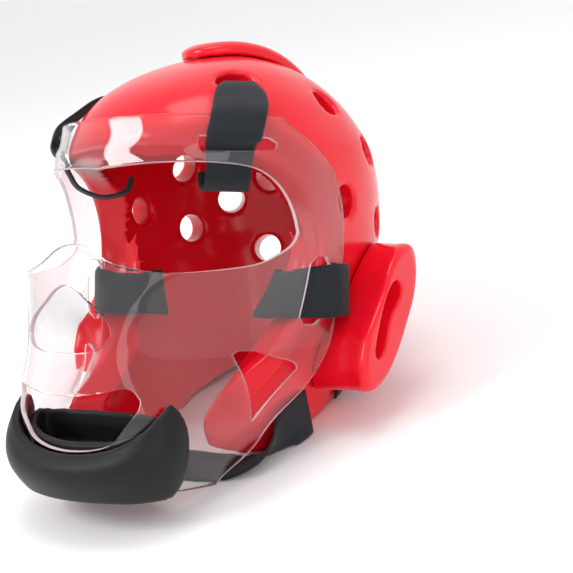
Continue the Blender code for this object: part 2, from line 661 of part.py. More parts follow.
# Chin cup: a bowl inside the shield
cupReach, cupSteps, cupBack = 3.5, 12, 0.014
def cupRing(level, shrink, bottom):
    ring = []
    ends = []
    for i in range(2 * cupSteps + 1):
        u = i / cupSteps - 1
        rim = mouthBottom + 0.004 + 0.020 * abs(u) ** 2.0
        z = rim + (bottom - rim) * level
        share = heightShare(z)
        point = shieldPoint(share, cupReach * u)
        ring.append(point - shieldNormal(share, cupReach * u) * (shieldThickness + seatGap * 4.2 + shrink))
    right, left = ring[-1], ring[0]
    for i in range(1, 2 * cupSteps - 1):
        t = i / (2 * cupSteps - 1)
        point = right.lerp(left, t)
        point.y += (cupBack - shrink) * sin(pi * t) ** 0.6
        ring.append(point)
    return ring


outerLevels = [cupRing(level, 0.0, chinCupBottom) for level in (0, 0.35, 0.7, 1)]
innerLevels = [cupRing(level, chinCupFoam, chinCupBottom) for level in (0, 0.3, 0.55, 0.72)]
count = len(outerLevels[0])
floorMiddle = sum(outerLevels[-1], Vector()) / count
cupMiddle = sum(innerLevels[-1], Vector()) / count
loops = [[floorMiddle] * count] + outerLevels[::-1] + innerLevels + [[cupMiddle - Vector((0, 0, 0.002))] * count]
vertices = [p for loop in loops for p in loop]
chinCup = addPiece("chin_cup", vertices, gridFaces(len(loops), count, 0, True), parts, partCollection)


# Straps
def scaled(rows):
    return [(row[0] * shellHalfWidth, shellMiddle + row[1] * shellHalfLength, row[2] * crownHeight) + row[3:]
            for row in rows]


def napeRows():
    rows = []
    turns = [0.42 + 0.58 * k / 8 for k in range(9)]
    for k, turn in enumerate(turns + turns[-2::-1]):
        point = shellPoint(napeRow, turn)
        up = shellPoint(napeRow + 0.3, turn) - point
        outward = Vector((point.x, point.y - shellMiddle, 0)).normalized()
        point += outward * (strapThickness / 2 + seatGap * 2.8)
        side = 1 if k < len(turns) else -1
        up.normalize()
        rows.append((side * point.x, point.y, point.z, 1, side * up.x, up.y, up.z))
    return rows


ribbon("forehead_strap_left", scaled(foreheadStrapPath), strapWidth, strapThickness, 30, strapBow)
ribbon("cheek_strap_left", scaled(cheekStrapPath), strapWidth, strapThickness, 22)
ribbon("chin_strap", scaled(chinStrapPath), strapWidth, strapThickness, 36)
ribbon("nape_strap", napeRows(), napeStrapWidth, strapThickness, 26)

for name in ("ear_pad", "forehead_strap", "cheek_strap"):
    settle(parts[name + "_left"])
    mirrorPiece(parts[name + "_left"], name + "_right")
for piece in (shell, shield, crownPad, chinPad, chinCup):
    settle(piece)

# Level the rim, put the base's middle at the origin
turn = Matrix.Rotation(-atan(rimSlope), 4, "X")
for piece in parts.values():
    piece.data.transform(turn)
corners = [v.co for piece in parts.values() for v in piece.data.vertices]
middle = 0.5 * (min(c.y for c in corners) + max(c.y for c in corners))
lift = min(c.z for c in corners)
for piece in parts.values():
    piece.data.transform(Matrix.Translation((0, -middle, -lift)))

# Materials
finishes = {
    "red_foam": {"color": (0.78, 0.01, 0.03, 1), "roughness": 0.22, "clear": 0.0, "for": ("shell", "crown_pad", "ear_pad_left", "ear_pad_right")},
    "clear_shield": {"color": (0.95, 0.96, 0.97, 1), "roughness": 0.06, "clear": 1.0, "for": ("face_shield",)},
    "black_foam": {"color": (0.02, 0.02, 0.022, 1), "roughness": 0.45, "clear": 0.0, "for": ("chin_pad", "chin_cup")},
    "strap_web": {"color": (0.03, 0.035, 0.042, 1), "roughness": 0.9, "clear": 0.0, "for": (
        "forehead_strap_left", "forehead_strap_right", "cheek_strap_left", "cheek_strap_right", "chin_strap",
        "nape_strap")},
}
for finish in finishes.values():
    for name in finish["for"]:
        if name in parts:
            material = bpy.data.materials.new(name)
            material.use_nodes = True
            shader = material.node_tree.nodes["Principled BSDF"]
            shader.inputs["Base Color"].default_value = finish["color"]
            shader.inputs["Roughness"].default_value = finish["roughness"]
            shader.inputs["Transmission Weight"].default_value = finish["clear"]
            parts[name].data.materials.clear()
            parts[name].data.materials.append(material)
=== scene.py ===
from math import asin, atan, cos, pi, radians, sin

import bmesh
import bpy
from mathutils import Matrix, Vector
from mathutils.bvhtree import BVHTree


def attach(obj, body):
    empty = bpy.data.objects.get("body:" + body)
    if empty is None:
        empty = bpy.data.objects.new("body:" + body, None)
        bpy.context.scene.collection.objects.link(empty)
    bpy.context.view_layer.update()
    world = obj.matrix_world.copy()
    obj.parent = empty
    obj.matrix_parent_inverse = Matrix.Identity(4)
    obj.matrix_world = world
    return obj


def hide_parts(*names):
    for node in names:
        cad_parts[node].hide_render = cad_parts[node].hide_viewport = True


# Headgear of dipped foam with a clear face shield. It is laid out nodding
# forward, face towards -Y, then tipped back onto its lower rim.

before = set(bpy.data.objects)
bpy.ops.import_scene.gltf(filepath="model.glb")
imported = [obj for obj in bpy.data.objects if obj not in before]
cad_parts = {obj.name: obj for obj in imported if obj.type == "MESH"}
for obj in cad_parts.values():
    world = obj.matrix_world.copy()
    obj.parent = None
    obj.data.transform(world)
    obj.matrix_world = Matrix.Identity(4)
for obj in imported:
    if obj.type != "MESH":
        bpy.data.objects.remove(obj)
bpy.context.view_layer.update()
print("frame loaded")

layout = {
    "rimSlope": 0.40,      # of the lower rim, rising towards the nape
    "rimDrop": 0.1425,     # its plane below the layout's origin
    "middle": 0.03884386,    # what brings the base's middle to the origin
    "lift": -0.13230793,
}
tipped = (Matrix.Translation((0, -layout["middle"], -layout["lift"]))
          @ Matrix.Rotation(-atan(layout["rimSlope"]), 4, "X"))


# Shader helpers
class Sock:  # a node's output that takes part in plain arithmetic
    def __init__(self, tree, link):
        self.tree, self.link = tree, link

    def maths(self, operation, other, swapped=False):
        node = self.tree.nodes.new("ShaderNodeMath")
        node.operation = operation
        for place, item in enumerate([other, self] if swapped else [self, other]):
            if isinstance(item, Sock):
                self.tree.links.new(item.link, node.inputs[place])
            else:
                node.inputs[place].default_value = item
        return Sock(self.tree, node.outputs[0])

    def __add__(self, other): return self.maths("ADD", other)
    def __radd__(self, other): return self.maths("ADD", other, True)
    def __mul__(self, other): return self.maths("MULTIPLY", other)


class Finish:  # one material and its nodes
    def __init__(self, name):
        self.material = bpy.data.materials.new(name)
        self.material.use_nodes = True
        self.tree = self.material.node_tree
        self.shader = self.tree.nodes["Principled BSDF"]

    def node(self, kind, **inputs):
        node = self.tree.nodes.new(kind)
        for key, value in inputs.items():
            self.plug(node.inputs[key.replace("_", " ")], value)
        return node

    def plug(self, socket, value):
        if isinstance(value, Sock):
            self.tree.links.new(value.link, socket)
        else:
            socket.default_value = value

    def out(self, node, name):
        return Sock(self.tree, node.outputs[name])

    def spots(self):
        return self.out(self.node("ShaderNodeTexCoord"), "Object")

    def noise(self, where, size, detail=2.0, rough=0.5):
        return self.out(self.node("ShaderNodeTexNoise", Vector=where, Scale=size,
                                  Detail=detail, Roughness=rough), "Fac")

    def blend(self, share, first, second):  # sockets 0, 6 and 7 are the colour form's inputs
        node = self.node("ShaderNodeMix")
        node.data_type = "RGBA"
        self.plug(node.inputs[0], share)
        self.plug(node.inputs[6], first)
        self.plug(node.inputs[7], second)
        return Sock(self.tree, node.outputs[2])

    def bump(self, height, strength, distance):
        node = self.node("ShaderNodeBump", Height=height, Strength=strength, Distance=distance)
        self.plug(self.shader.inputs["Normal"], self.out(node, "Normal"))

    def put(self, **inputs):
        for key, value in inputs.items():
            self.plug(self.shader.inputs[key.replace("_", " ")], value)


# Shape helpers
def along(rows, where):  # a smooth run through rows of numbers
    last = len(rows) - 1
    i = min(max(int(where), 0), last - 1)
    t = where - i
    a, b, c, d = rows[max(i - 1, 0)], rows[i], rows[i + 1], rows[min(i + 2, last)]
    return [0.5 * (2 * q + (r - p) * t + (2 * p - 5 * q + 4 * r - s) * t * t
                   + (3 * q - 3 * r + s - p) * t ** 3) for p, q, r, s in zip(a, b, c, d)]


def ringOf(outline, count):  # a smooth closed outline
    n = len(outline)
    spots = []
    for k in range(count):
        where = n * k / count
        i = int(where)
        four = [outline[(i + j) % n] for j in (-1, 0, 1, 2)]
        spots.append(along(four, 1 + where - i))
    return spots


def heightAt(edge, share):  # an opening's edge, eased between its points
    for i, ((s, v), (nextS, nextV)) in enumerate(zip(edge, edge[1:])):
        if share <= nextS or i == len(edge) - 2:
            gap = nextS - s
            before = (v - edge[i - 1][1]) / (s - edge[i - 1][0]) if i else 0.0
            here = (nextV - v) / gap
            after = (edge[i + 2][1] - nextV) / (edge[i + 2][0] - nextS) if i < len(edge) - 2 else here
            left = 0.0 if before * here <= 0 else 2 * before * here / (before + here)
            right = 0.0 if here * after <= 0 else 2 * here * after / (here + after)
            t = min(max((share - s) / gap, 0), 1)
            return (v * (1 + 2 * t) * (1 - t) ** 2 + nextV * t * t * (3 - 2 * t)
                    + gap * (left * t * (1 - t) ** 2 + right * t * t * (t - 1)))


def patch(columns, rows, place):  # a grid whose corners are put by place(u, v), both 0 to 1
    mesh = bmesh.new()
    bmesh.ops.create_grid(mesh, x_segments=columns, y_segments=rows, size=1)
    for vert in mesh.verts:
        vert.co = place((vert.co.x + 1) / 2, (vert.co.y + 1) / 2)
    bmesh.ops.remove_doubles(mesh, verts=mesh.verts, dist=1e-6)
    return mesh


def wall(mesh, inward):  # gives a sheet its inside, moved by inward(vert), and a rim
    mesh.normal_update()
    targets = {vert: inward(vert) for vert in mesh.verts}
    rim = [edge for edge in mesh.edges if len(edge.link_faces) == 1]
    copy = bmesh.ops.duplicate(mesh, geom=mesh.verts[:] + mesh.edges[:] + mesh.faces[:])
    for vert, twin in [(v, copy["vert_map"][v]) for v in targets]:
        twin.co = targets[vert]
    bmesh.ops.reverse_faces(mesh, faces=[f for f in copy["geom"] if isinstance(f, bmesh.types.BMFace)])
    twins = [copy["edge_map"][edge] for edge in rim]
    if rim:
        bmesh.ops.bridge_loops(mesh, edges=rim + twins)
    bmesh.ops.recalc_face_normals(mesh, faces=mesh.faces)


def pieceFrom(mesh, name):
    data = bpy.data.meshes.new(name)
    mesh.to_mesh(data)
    mesh.free()
    piece = bpy.data.objects.new(name, data)
    bpy.context.scene.collection.objects.link(piece)
    return piece


def bake(piece):  # works the modifiers into the mesh
    bpy.context.view_layer.update()
    done = piece.evaluated_get(bpy.context.evaluated_depsgraph_get())
    data = bpy.data.meshes.new_from_object(done)
    piece.modifiers.clear()
    piece.data = data
    data.name = piece.name


def carve(piece, tool):
    step = piece.modifiers.new("carve", "BOOLEAN")
    step.operation, step.solver, step.object = "DIFFERENCE", "EXACT", tool
    bake(piece)
    bpy.data.objects.remove(tool)


def soften(piece, voxel, rounds, factor=0.5):  # even mesh with soft edges, as dipped foam has
    step = piece.modifiers.new("even", "REMESH")
    step.mode, step.voxel_size = "VOXEL", voxel
    step.use_smooth_shade = True
    step = piece.modifiers.new("soft", "SMOOTH")
    step.factor, step.iterations = factor, rounds
    bake(piece)


def copyOf(node):  # a merged copy of a CAD node
    mesh = bmesh.new()
    mesh.from_mesh(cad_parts[node].data)
    bmesh.ops.remove_doubles(mesh, verts=mesh.verts, dist=1e-5)
    bmesh.ops.recalc_face_normals(mesh, faces=mesh.faces)
    return mesh


def finishPiece(piece, finish, slot, *nodes, tip=True, fill=None):
    if tip:
        piece.data.transform(tipped)
    for face in piece.data.polygons:
        face.use_smooth = True
    piece.data.materials.clear()
    piece.data.materials.append(finish.material)
    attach(piece, "root")
    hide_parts(*nodes)
    print(piece.name, "made,", len(piece.data.polygons), "faces")


# Finishes
redSkin = Finish("red dipped skin")
where = redSkin.spots()
cloud = redSkin.noise(where, 14, 3)
grain = redSkin.noise(where, 900, 2)
wave = redSkin.noise(where, 60, 2)
redSkin.put(Base_Color=redSkin.blend(cloud, (0.76, 0.003, 0.014, 1), (0.84, 0.006, 0.022, 1)),
            Roughness=0.17 + wave * 0.08, Coat_Roughness=0.06, Coat_Weight=0.10 + cloud * 0.08,
            Specular_IOR_Level=0.30)
redSkin.bump(grain * 0.35 + wave, 0.25, 0.0006)

clearSheet = Finish("clear shield")
where = clearSheet.spots()
clearSheet.put(Base_Color=(0.985, 0.955, 0.965, 1), Transmission_Weight=1.0, IOR=1.46,
               Roughness=0.015 + clearSheet.noise(where, 25, 3) * 0.03)
clearSheet.bump(clearSheet.noise(where, 22, 1), 0.06, 0.0008)

# The shield's cut walls are painted pale pink: a painted highlight, tinted by a painted reflection of the
# red foam.
paintedEdgeHighlight = Finish("painted highlight on the shield's cut edges")
where = paintedEdgeHighlight.spots()
cloud = paintedEdgeHighlight.noise(where, 60, 2)
paintedEdgeHighlight.put(Base_Color=paintedEdgeHighlight.blend(cloud, (0.90, 0.62, 0.66, 1), (0.98, 0.86, 0.88, 1)),
            Roughness=0.22, Transmission_Weight=0.35)

blackSkin = Finish("black dipped skin")
where = blackSkin.spots()
cloud = blackSkin.noise(where, 20, 3)
grain = blackSkin.noise(where, 1100, 2)
blackSkin.put(Base_Color=blackSkin.blend(cloud, (0.004, 0.004, 0.0045, 1), (0.008, 0.008, 0.009, 1)),
              Roughness=0.40 + cloud * 0.12, Specular_IOR_Level=0.28)
blackSkin.bump(grain + cloud * 0.5, 0.25, 0.0005)

webbing = Finish("napped webbing")
where = webbing.spots()
fuzz = webbing.noise(where, 700, 4, 0.7)
tuft = webbing.noise(where, 2400, 2)
webbing.put(Base_Color=webbing.blend(fuzz, (0.007, 0.009, 0.012, 1), (0.026, 0.031, 0.038, 1)),
            Roughness=0.80 + tuft * 0.15, Sheen_Weight=0.12, Sheen_Roughness=0.4,
            Specular_IOR_Level=0.25)
webbing.bump(fuzz + tuft * 0.6, 0.55, 0.0010)
print("finishes made")


meshing = {"coarse": 0.0022, "fine": 0.0014}  # voxels that even out the foam
foamFill = 0.9  # how full a padded piece is


# Hood: thick foam over the head, open below and in front
hood = {
    "halfWidth": 0.111, "halfLength": 0.134, "crown": 0.1765,
    "middle": 0.079, "foam": 0.024, "coreHeight": 0.060,
    "roundness": 2.3, "browRow": 11, "ventRadius": 0.0118,
    "strapHoleRadius": 0.0155,
    # sections from the bottom up: front x, y, z; side x, z; dip; back y, z
    "rows": (
        (0.505, -0.709, -0.663, 0.694, -0.635, 0.057, 0.903, -0.363),
        (0.577, -0.821, -0.544, 0.775, -0.499, 0.040, 0.948, -0.227),
        (0.604, -0.619, -0.419, 0.829, -0.351, 0.017, 0.978, -0.091),
        (0.685, -0.366, -0.261, 0.883, -0.198, 0.000, 1.000, 0.045),
        (0.793, -0.224, -0.085, 0.946, -0.045, 0.000, 1.000, 0.170),
        (0.892, -0.157, 0.085, 0.995, 0.102, 0.000, 1.000, 0.261),
        (0.910, -0.209, 0.238, 1.000, 0.238, 0.000, 0.993, 0.340),
        (0.883, -0.321, 0.363, 1.000, 0.351, 0.000, 0.978, 0.414),
        (0.829, -0.485, 0.448, 0.991, 0.436, 0.000, 0.955, 0.482),
        (0.694, -0.709, 0.499, 0.977, 0.499, 0.000, 0.933, 0.538),
        (0.396, -0.903, 0.527, 0.964, 0.544, 0.000, 0.903, 0.584),
        (0.000, -0.963, 0.544, 0.950, 0.578, 0.000, 0.881, 0.612),
        (0.000, -0.937, 0.612, 0.914, 0.629, 0.000, 0.836, 0.663),
        (0.000, -0.881, 0.686, 0.865, 0.691, 0.000, 0.769, 0.714),
        (0.000, -0.799, 0.754, 0.806, 0.751, 0.000, 0.687, 0.771),
        (0.000, -0.694, 0.813, 0.730, 0.807, 0.000, 0.590, 0.824),
        (0.000, -0.567, 0.867, 0.644, 0.858, 0.000, 0.478, 0.873),
        (0.000, -0.433, 0.912, 0.532, 0.907, 0.000, 0.351, 0.918),
        (0.000, -0.284, 0.952, 0.387, 0.949, 0.000, 0.224, 0.955),
        (0.000, -0.142, 0.980, 0.216, 0.980, 0.000, 0.112, 0.982),
    ),
    "vents": (
        (0.620, 0.075, 0.674), (0.814, 0.380, 0.556), (0.938, 0.022, 0.325), (0.920, 0.507, 0.255),
        (0.560, 0.640, 0.680), (0.700, 0.810, 0.420), (0.300, 0.930, 0.560), (0.380, 0.980, 0.150),
    ),
    "strapHole": (0.560, -0.500, 0.790),
}


def hoodSpot(section, turn):  # a point of the right outer surface, turn 0 in front to 1 behind
    frontX, frontY, frontZ, sideX, sideZ, dip, backY, backZ = along(hood["rows"], section)
    width, reach = sideX * hood["halfWidth"], -frontY * hood["halfLength"]
    brow = -hood["rows"][hood["browRow"]][1] * hood["halfLength"]
    full = max(reach, brow) if section < hood["browRow"] else reach
    power = 2 / hood["roundness"]
    start = asin(min(max(frontX * hood["halfWidth"] / width, 0), 1) ** (1 / power))
    angle = start + (pi - start) * turn
    deep = full if angle < pi / 2 else backY * hood["halfLength"]
    flat = abs(cos(angle))
    x, y = width * sin(angle) ** power, deep * flat ** power * (-1 if angle < pi / 2 else 1)
    if angle < pi / 2:
        share = (pi / 2 - angle) / (pi / 2 - start)
        y += (full * cos(start) ** power - reach) * share * share
        q = min(max(-y / reach, 0), 1)
        z = sideZ + (frontZ - sideZ) * q - dip * 4 * q * (1 - q)
    else:
        z = sideZ + (backZ - sideZ) * y / deep
    return Vector((x, y + hood["middle"], z * hood["crown"]))


def hoodPlace(u, v):
    side = 1 if u <= 0.5 else -1
    turn = 2 * u if u <= 0.5 else 2 * (1 - u)
    top = len(hood["rows"]) - 1
    section = min(v * (top + 1), top)
    spot = hoodSpot(section, turn)
    if v * (top + 1) > top:
        spot = spot.lerp(Vector((0, hood["middle"], hood["crown"])), v * (top + 1) - top)
    return Vector((side * spot.x, spot.y, spot.z))


def hoodInward(vert):
    core = Vector((0, hood["middle"], min(vert.co.z, hood["coreHeight"])))
    way = (core - vert.co).normalized()
    return vert.co + way * hood["foam"] / max(abs(way.dot(vert.normal)), 0.8)


sheet = patch(150, 110, hoodPlace)
bmesh.ops.recalc_face_normals(sheet, faces=sheet.faces)
hoodTree = BVHTree.FromBMesh(sheet)
wall(sheet, hoodInward)
shell = pieceFrom(sheet, "foam_hood")


def drillAt(mesh, share, radius):  # a round tool on both sides of the hood
    for side in (1, -1):
        spot = Vector((side * share[0] * hood["halfWidth"], hood["middle"] + share[1] * hood["halfLength"],
                       share[2] * hood["crown"]))
        point, normal, face, gap = hoodTree.find_nearest(spot)
        if normal.dot(point - Vector((0, hood["middle"], 0))) < 0:
            normal = -normal
        turn = normal.to_track_quat("Z", "Y").to_matrix().to_4x4()
        bmesh.ops.create_cone(mesh, cap_ends=True, segments=48, radius1=radius, radius2=radius,
                              depth=hood["foam"] * 2.4, matrix=Matrix.Translation(point) @ turn)


tools = bmesh.new()
for vent in hood["vents"]:
    drillAt(tools, vent, hood["ventRadius"])
drillAt(tools, hood["strapHole"], hood["strapHoleRadius"])
carve(shell, pieceFrom(tools, "drills"))
ground = bmesh.new()
slab = (Matrix.Translation((0, 0, -layout["rimDrop"])) @ Matrix.Rotation(atan(layout["rimSlope"]), 4, "X")
        @ Matrix.Translation((0, 0, -0.5)))
bmesh.ops.create_cube(ground, size=1.0, matrix=slab)
carve(shell, pieceFrom(ground, "ground"))
soften(shell, meshing["coarse"], 7)
finishPiece(shell, redSkin, "red_foam", "shell", fill=foamFill)


# Crown pad: a raised oval that follows the dome
crown = {"halfWidth": 0.041, "halfLength": 0.077, "height": 0.010, "rim": 0.35,
         "back": 0.040, "gap": 0.0008}
pad = bmesh.new()
bmesh.ops.create_uvsphere(pad, u_segments=96, v_segments=48, radius=1)
for vert in pad.verts:
    x, y, z = vert.co
    above = Vector((x * crown["halfWidth"], hood["middle"] + crown["back"] + y * crown["halfLength"], 1))
    base, normal, face, gap = hoodTree.ray_cast(above, Vector((0, 0, -1)))
    normal = normal if normal.z > 0 else -normal
    rise = crown["rim"] + (1 - crown["rim"]) * min(z * 1.9, 1) ** 0.7 if z > 0 else 0
    vert.co = base + normal * (crown["gap"] + crown["height"] * rise)
crownPad = pieceFrom(pad, "crown_cushion")
soften(crownPad, meshing["fine"], 5)
finishPiece(crownPad, redSkin, "red_foam", "crown_pad", fill=foamFill)


# Ear pads: bean-shaped bosses, hollowed by a slot
ear = {
    "length": 0.110, "width": 0.082, "reach": 0.143, "forward": 0.015,
    "drop": 0.026, "lean": 0.011, "round": 0.006, "slotDepth": 0.014, "gap": 0.0008,
    "around": 120,
    "outline": (
        (0.366, 0.482), (0.463, 0.418), (0.488, 0.282), (0.427, 0.109), (0.293, -0.064),
        (0.146, -0.236), (-0.049, -0.400), (-0.256, -0.491), (-0.427, -0.482), (-0.500, -0.373),
        (-0.476, -0.236), (-0.415, -0.118), (-0.305, -0.009), (-0.159, 0.136), (-0.037, 0.309),
        (0.146, 0.445)),
    "slot": (
        (0.073, 0.227), (0.159, 0.182), (0.122, 0.100), (0.012, 0.018), (-0.061, -0.064),
        (-0.110, -0.173), (-0.183, -0.264), (-0.280, -0.282), (-0.293, -0.209), (-0.232, -0.073),
        (-0.134, 0.082), (-0.037, 0.182)),
}
earCurve = ringOf(ear["outline"], ear["around"])
inset = 1 - 2 * ear["round"] / ear["width"]
# (share of the outline, reach; none where it lies on the hood)
earLevels = ((0, None), (0.5, None), (1.02, None), (1.0, ear["reach"] - 3 * ear["round"]),
             (1.0, ear["reach"] - ear["round"]), (0.965, ear["reach"] - ear["round"] * 0.3),
             (inset, ear["reach"]), (0.5, ear["reach"]), (0, ear["reach"]))


def earPlace(u, v):
    k, level = int(round(u * ear["around"])) % ear["around"], v * (len(earLevels) - 1)
    i = min(int(level), len(earLevels) - 2)
    t = level - i
    spots = []
    for grow, reach in earLevels[i:i + 2]:
        lean = ear["lean"] if reach is None else (
            ear["lean"] * (ear["reach"] - reach) / (ear["reach"] - hood["halfWidth"]))
        y = hood["middle"] + ear["forward"] + lean + earCurve[k][0] * grow * ear["width"]
        z = -ear["drop"] + earCurve[k][1] * grow * ear["length"]
        if reach is None:
            point, normal, face, gap = hoodTree.ray_cast(Vector((0.5, y, z)), Vector((-1, 0, 0)))
            spots.append(point + Vector((ear["gap"], 0, 0)))
        else:
            spots.append(Vector((reach, y, z)))
    return spots[0].lerp(spots[1], t)


for side, word in ((1, "left"), (-1, "right")):
    boss = patch(ear["around"], 48, earPlace)
    bmesh.ops.recalc_face_normals(boss, faces=boss.faces)
    bossPiece = pieceFrom(boss, "ear_cushion_" + word)
    tool = bmesh.new()
    depth, middle = ear["reach"] - ear["slotDepth"], hood["middle"] + ear["forward"]
    loop = [tool.verts.new((depth, middle + u * ear["width"], -ear["drop"] + v * ear["length"]))
            for u, v in ringOf(ear["slot"], 72)]
    grown = bmesh.ops.extrude_face_region(tool, geom=[tool.faces.new(loop)])
    far = [v for v in grown["geom"] if isinstance(v, bmesh.types.BMVert)]
    bmesh.ops.translate(tool, verts=far, vec=(0.04, 0, 0))
    bmesh.ops.recalc_face_normals(tool, faces=tool.faces)
    carve(bossPiece, pieceFrom(tool, "slot"))
    soften(bossPiece, meshing["fine"], 5)
    if side < 0:
        bossPiece.data.transform(Matrix.Scale(-1, 4, (1, 0, 0)))
        bossPiece.data.flip_normals()
    finishPiece(bossPiece, redSkin, "red_foam", "ear_pad_" + word, fill=foamFill)


# Face shield: a thin clear wall with openings
shield = {
    "halfWidth": 0.115, "reach": 0.176, "height": 0.258,
    "edgeTurn": 0.6, "thickness": 0.003, "top": 0.113, "nose": 0.105,
    # sections from the top: share of the height, then (half width, reach) from the middle to the rear edge
    "rows": (
        (0.000, (0.000, 0.256), (0.174, 0.267), (0.348, 0.295), (0.522, 0.364),
         (0.670, 0.455), (0.765, 0.545), (0.826, 0.614), (0.870, 0.676)),
        (0.070, (0.000, 0.239), (0.191, 0.250), (0.383, 0.284), (0.565, 0.358),
         (0.722, 0.460), (0.835, 0.574), (0.913, 0.688), (0.965, 0.812)),
        (0.136, (0.000, 0.222), (0.209, 0.239), (0.400, 0.273), (0.583, 0.352),
         (0.748, 0.466), (0.870, 0.602), (0.948, 0.756), (0.987, 0.938)),
        (0.244, (0.000, 0.159), (0.226, 0.182), (0.426, 0.227), (0.609, 0.318),
         (0.774, 0.449), (0.896, 0.608), (0.965, 0.790), (1.000, 0.994)),
        (0.345, (0.000, 0.074), (0.226, 0.102), (0.435, 0.159), (0.609, 0.250),
         (0.774, 0.403), (0.896, 0.597), (0.965, 0.801), (1.000, 1.000)),
        (0.422, (0.000, 0.034), (0.217, 0.057), (0.417, 0.108), (0.591, 0.199),
         (0.748, 0.369), (0.861, 0.574), (0.939, 0.790), (0.991, 0.989)),
        (0.523, (0.000, 0.011), (0.209, 0.034), (0.383, 0.080), (0.522, 0.182),
         (0.652, 0.358), (0.774, 0.551), (0.904, 0.767), (0.983, 0.960)),
        (0.632, (0.000, 0.000), (0.200, 0.017), (0.365, 0.062), (0.461, 0.165),
         (0.522, 0.347), (0.626, 0.551), (0.826, 0.767), (0.965, 0.915)),
        (0.733, (0.000, 0.006), (0.243, 0.023), (0.426, 0.068), (0.522, 0.165),
         (0.574, 0.324), (0.643, 0.500), (0.791, 0.665), (0.904, 0.812)),
        (0.826, (0.000, 0.017), (0.252, 0.040), (0.443, 0.085), (0.557, 0.170),
         (0.617, 0.301), (0.687, 0.449), (0.757, 0.580), (0.791, 0.682)),
        (0.907, (0.000, 0.045), (0.235, 0.068), (0.417, 0.119), (0.530, 0.205),
         (0.591, 0.312), (0.635, 0.420), (0.670, 0.523), (0.687, 0.625)),
        (1.000, (0.000, 0.142), (0.191, 0.159), (0.348, 0.205), (0.443, 0.273),
         (0.487, 0.347), (0.504, 0.415), (0.513, 0.483), (0.513, 0.551)),
    ),
    # openings: first station, reach in stations, bottom, height; upper and lower edge
    "openings": (
        (0, 5.6, 0.004, 0.076,  # eyes
         ((0.000, 0.968), (0.188, 0.987), (0.420, 1.000), (0.571, 1.000), (0.696, 0.987),
          (0.795, 0.961), (0.866, 0.901), (0.920, 0.803), (0.961, 0.671), (0.986, 0.526),
          (1.000, 0.382)),
         ((0.000, 0.263), (0.062, 0.250), (0.134, 0.197), (0.188, 0.132), (0.250, 0.079),
          (0.348, 0.039), (0.464, 0.007), (0.571, 0.000), (0.696, 0.020), (0.804, 0.053),
          (0.866, 0.092), (0.916, 0.158), (0.961, 0.230), (0.986, 0.289), (1.000, 0.368))),
        (0, 1.74, -0.0493, 0.0455,  # nose
         ((0.000, 1.000), (0.218, 0.926), (0.460, 0.750), (0.747, 0.565), (0.931, 0.413),
          (1.000, 0.283)),
         ((0.000, 0.000), (0.345, 0.000), (0.632, 0.033), (0.862, 0.109), (1.000, 0.261))),
        (0, 2.47, -0.1165, 0.0445,  # mouth
         ((0.000, 0.854), (0.202, 0.865), (0.364, 0.894), (0.547, 0.942), (0.729, 0.987),
          (0.850, 1.000), (0.943, 0.944), (1.000, 0.820)),
         ((0.000, 0.000), (0.202, 0.018), (0.385, 0.067), (0.547, 0.157), (0.709, 0.393),
          (0.850, 0.562), (0.951, 0.685), (1.000, 0.798))),
        (5.05, 1.33, -0.099, 0.0485,  # cheek
         ((0.000, 0.948), (0.053, 0.996), (0.150, 1.000), (0.564, 0.907), (0.917, 0.814),
          (1.000, 0.742)),
         ((0.000, 0.928), (0.075, 0.835), (0.338, 0.464), (0.586, 0.052), (0.647, 0.000),
          (0.699, 0.052), (0.902, 0.474), (1.000, 0.722))),
        (3.1, 2.4, 0.087, 0.011,  # brow slot
         ((0.000, 0.600), (0.030, 1.000), (0.900, 1.000), (1.000, 0.700)),
         ((0.000, 0.400), (0.030, 0.000), (0.900, 0.200), (1.000, 0.600))),
        (6.04, 0.5, -0.033, 0.049,  # cheek slot
         ((0.000, 0.900), (0.300, 1.000), (0.700, 1.000), (1.000, 0.900)),
         ((0.000, 0.100), (0.300, 0.000), (0.700, 0.000), (1.000, 0.100))),
    ),
}


def shieldSpot(share, station):  # share of the height from the top, station 0 to 7 towards the rear edge
    shares = [row[0] for row in shield["rows"]]
    i = max(k for k in range(len(shares) - 1) if shares[k] <= share or k == 0)
    where = i + (share - shares[i]) / (shares[i + 1] - shares[i])
    row = along([tuple(v for point in row[1:] for v in point) for row in shield["rows"]], where)
    points = [(row[2 * k], row[2 * k + 1]) for k in range(len(row) // 2)]
    x, y = along([(-points[1][0], points[1][1])] + points, min(abs(station), 7) + 1)
    x = x if station >= 0 else -x
    return Vector((x * shield["halfWidth"], y * shield["reach"] - shield["nose"],
                   shield["top"] - share * shield["height"]))


def shieldFacing(share, station):
    up = shieldSpot(max(share - 0.01, 0), station) - shieldSpot(min(share + 0.01, 1), station)
    sideways = shieldSpot(share, min(station + 0.04, 7)) - shieldSpot(share, max(station - 0.04, -7))
    return sideways.cross(up).normalized()


def shareOf(z):
    return (shield["top"] - z) / shield["height"]


def shieldTool(first, reach, bottom, height, upper, lower, side):
    def place(u, v):
        if first == 0:
            share = abs(2 * u - 1)
            share = 0.02 * share + 0.98 * sin(share * pi / 2)
            signed = share if u >= 0.5 else -share
        else:
            share = (1 - cos(u * pi)) / 2
            signed = share
        low, high = heightAt(lower, share), heightAt(upper, share)
        z = bottom + (low + (high - low) * v) * height
        station = side * (first + signed * reach)
        spots.append((shareOf(z), station))
        return shieldSpot(shareOf(z), station) + shieldFacing(shareOf(z), station) * 2 * shield["thickness"]
    spots = []
    tool = bmesh.new()
    bmesh.ops.create_grid(tool, x_segments=72 if first == 0 else 40, y_segments=8, size=1)
    tool.verts.ensure_lookup_table()
    inner = {}
    for vert in tool.verts:
        vert.co = place((vert.co.x + 1) / 2, (vert.co.y + 1) / 2)
        share, station = spots[-1]
        inner[vert] = vert.co - shieldFacing(share, station) * 5 * shield["thickness"]
    wall(tool, lambda vert: inner[vert])
    return tool


def shieldPlace(u, v):
    return shieldSpot(1 - v, 7 * (2 * u - 1))


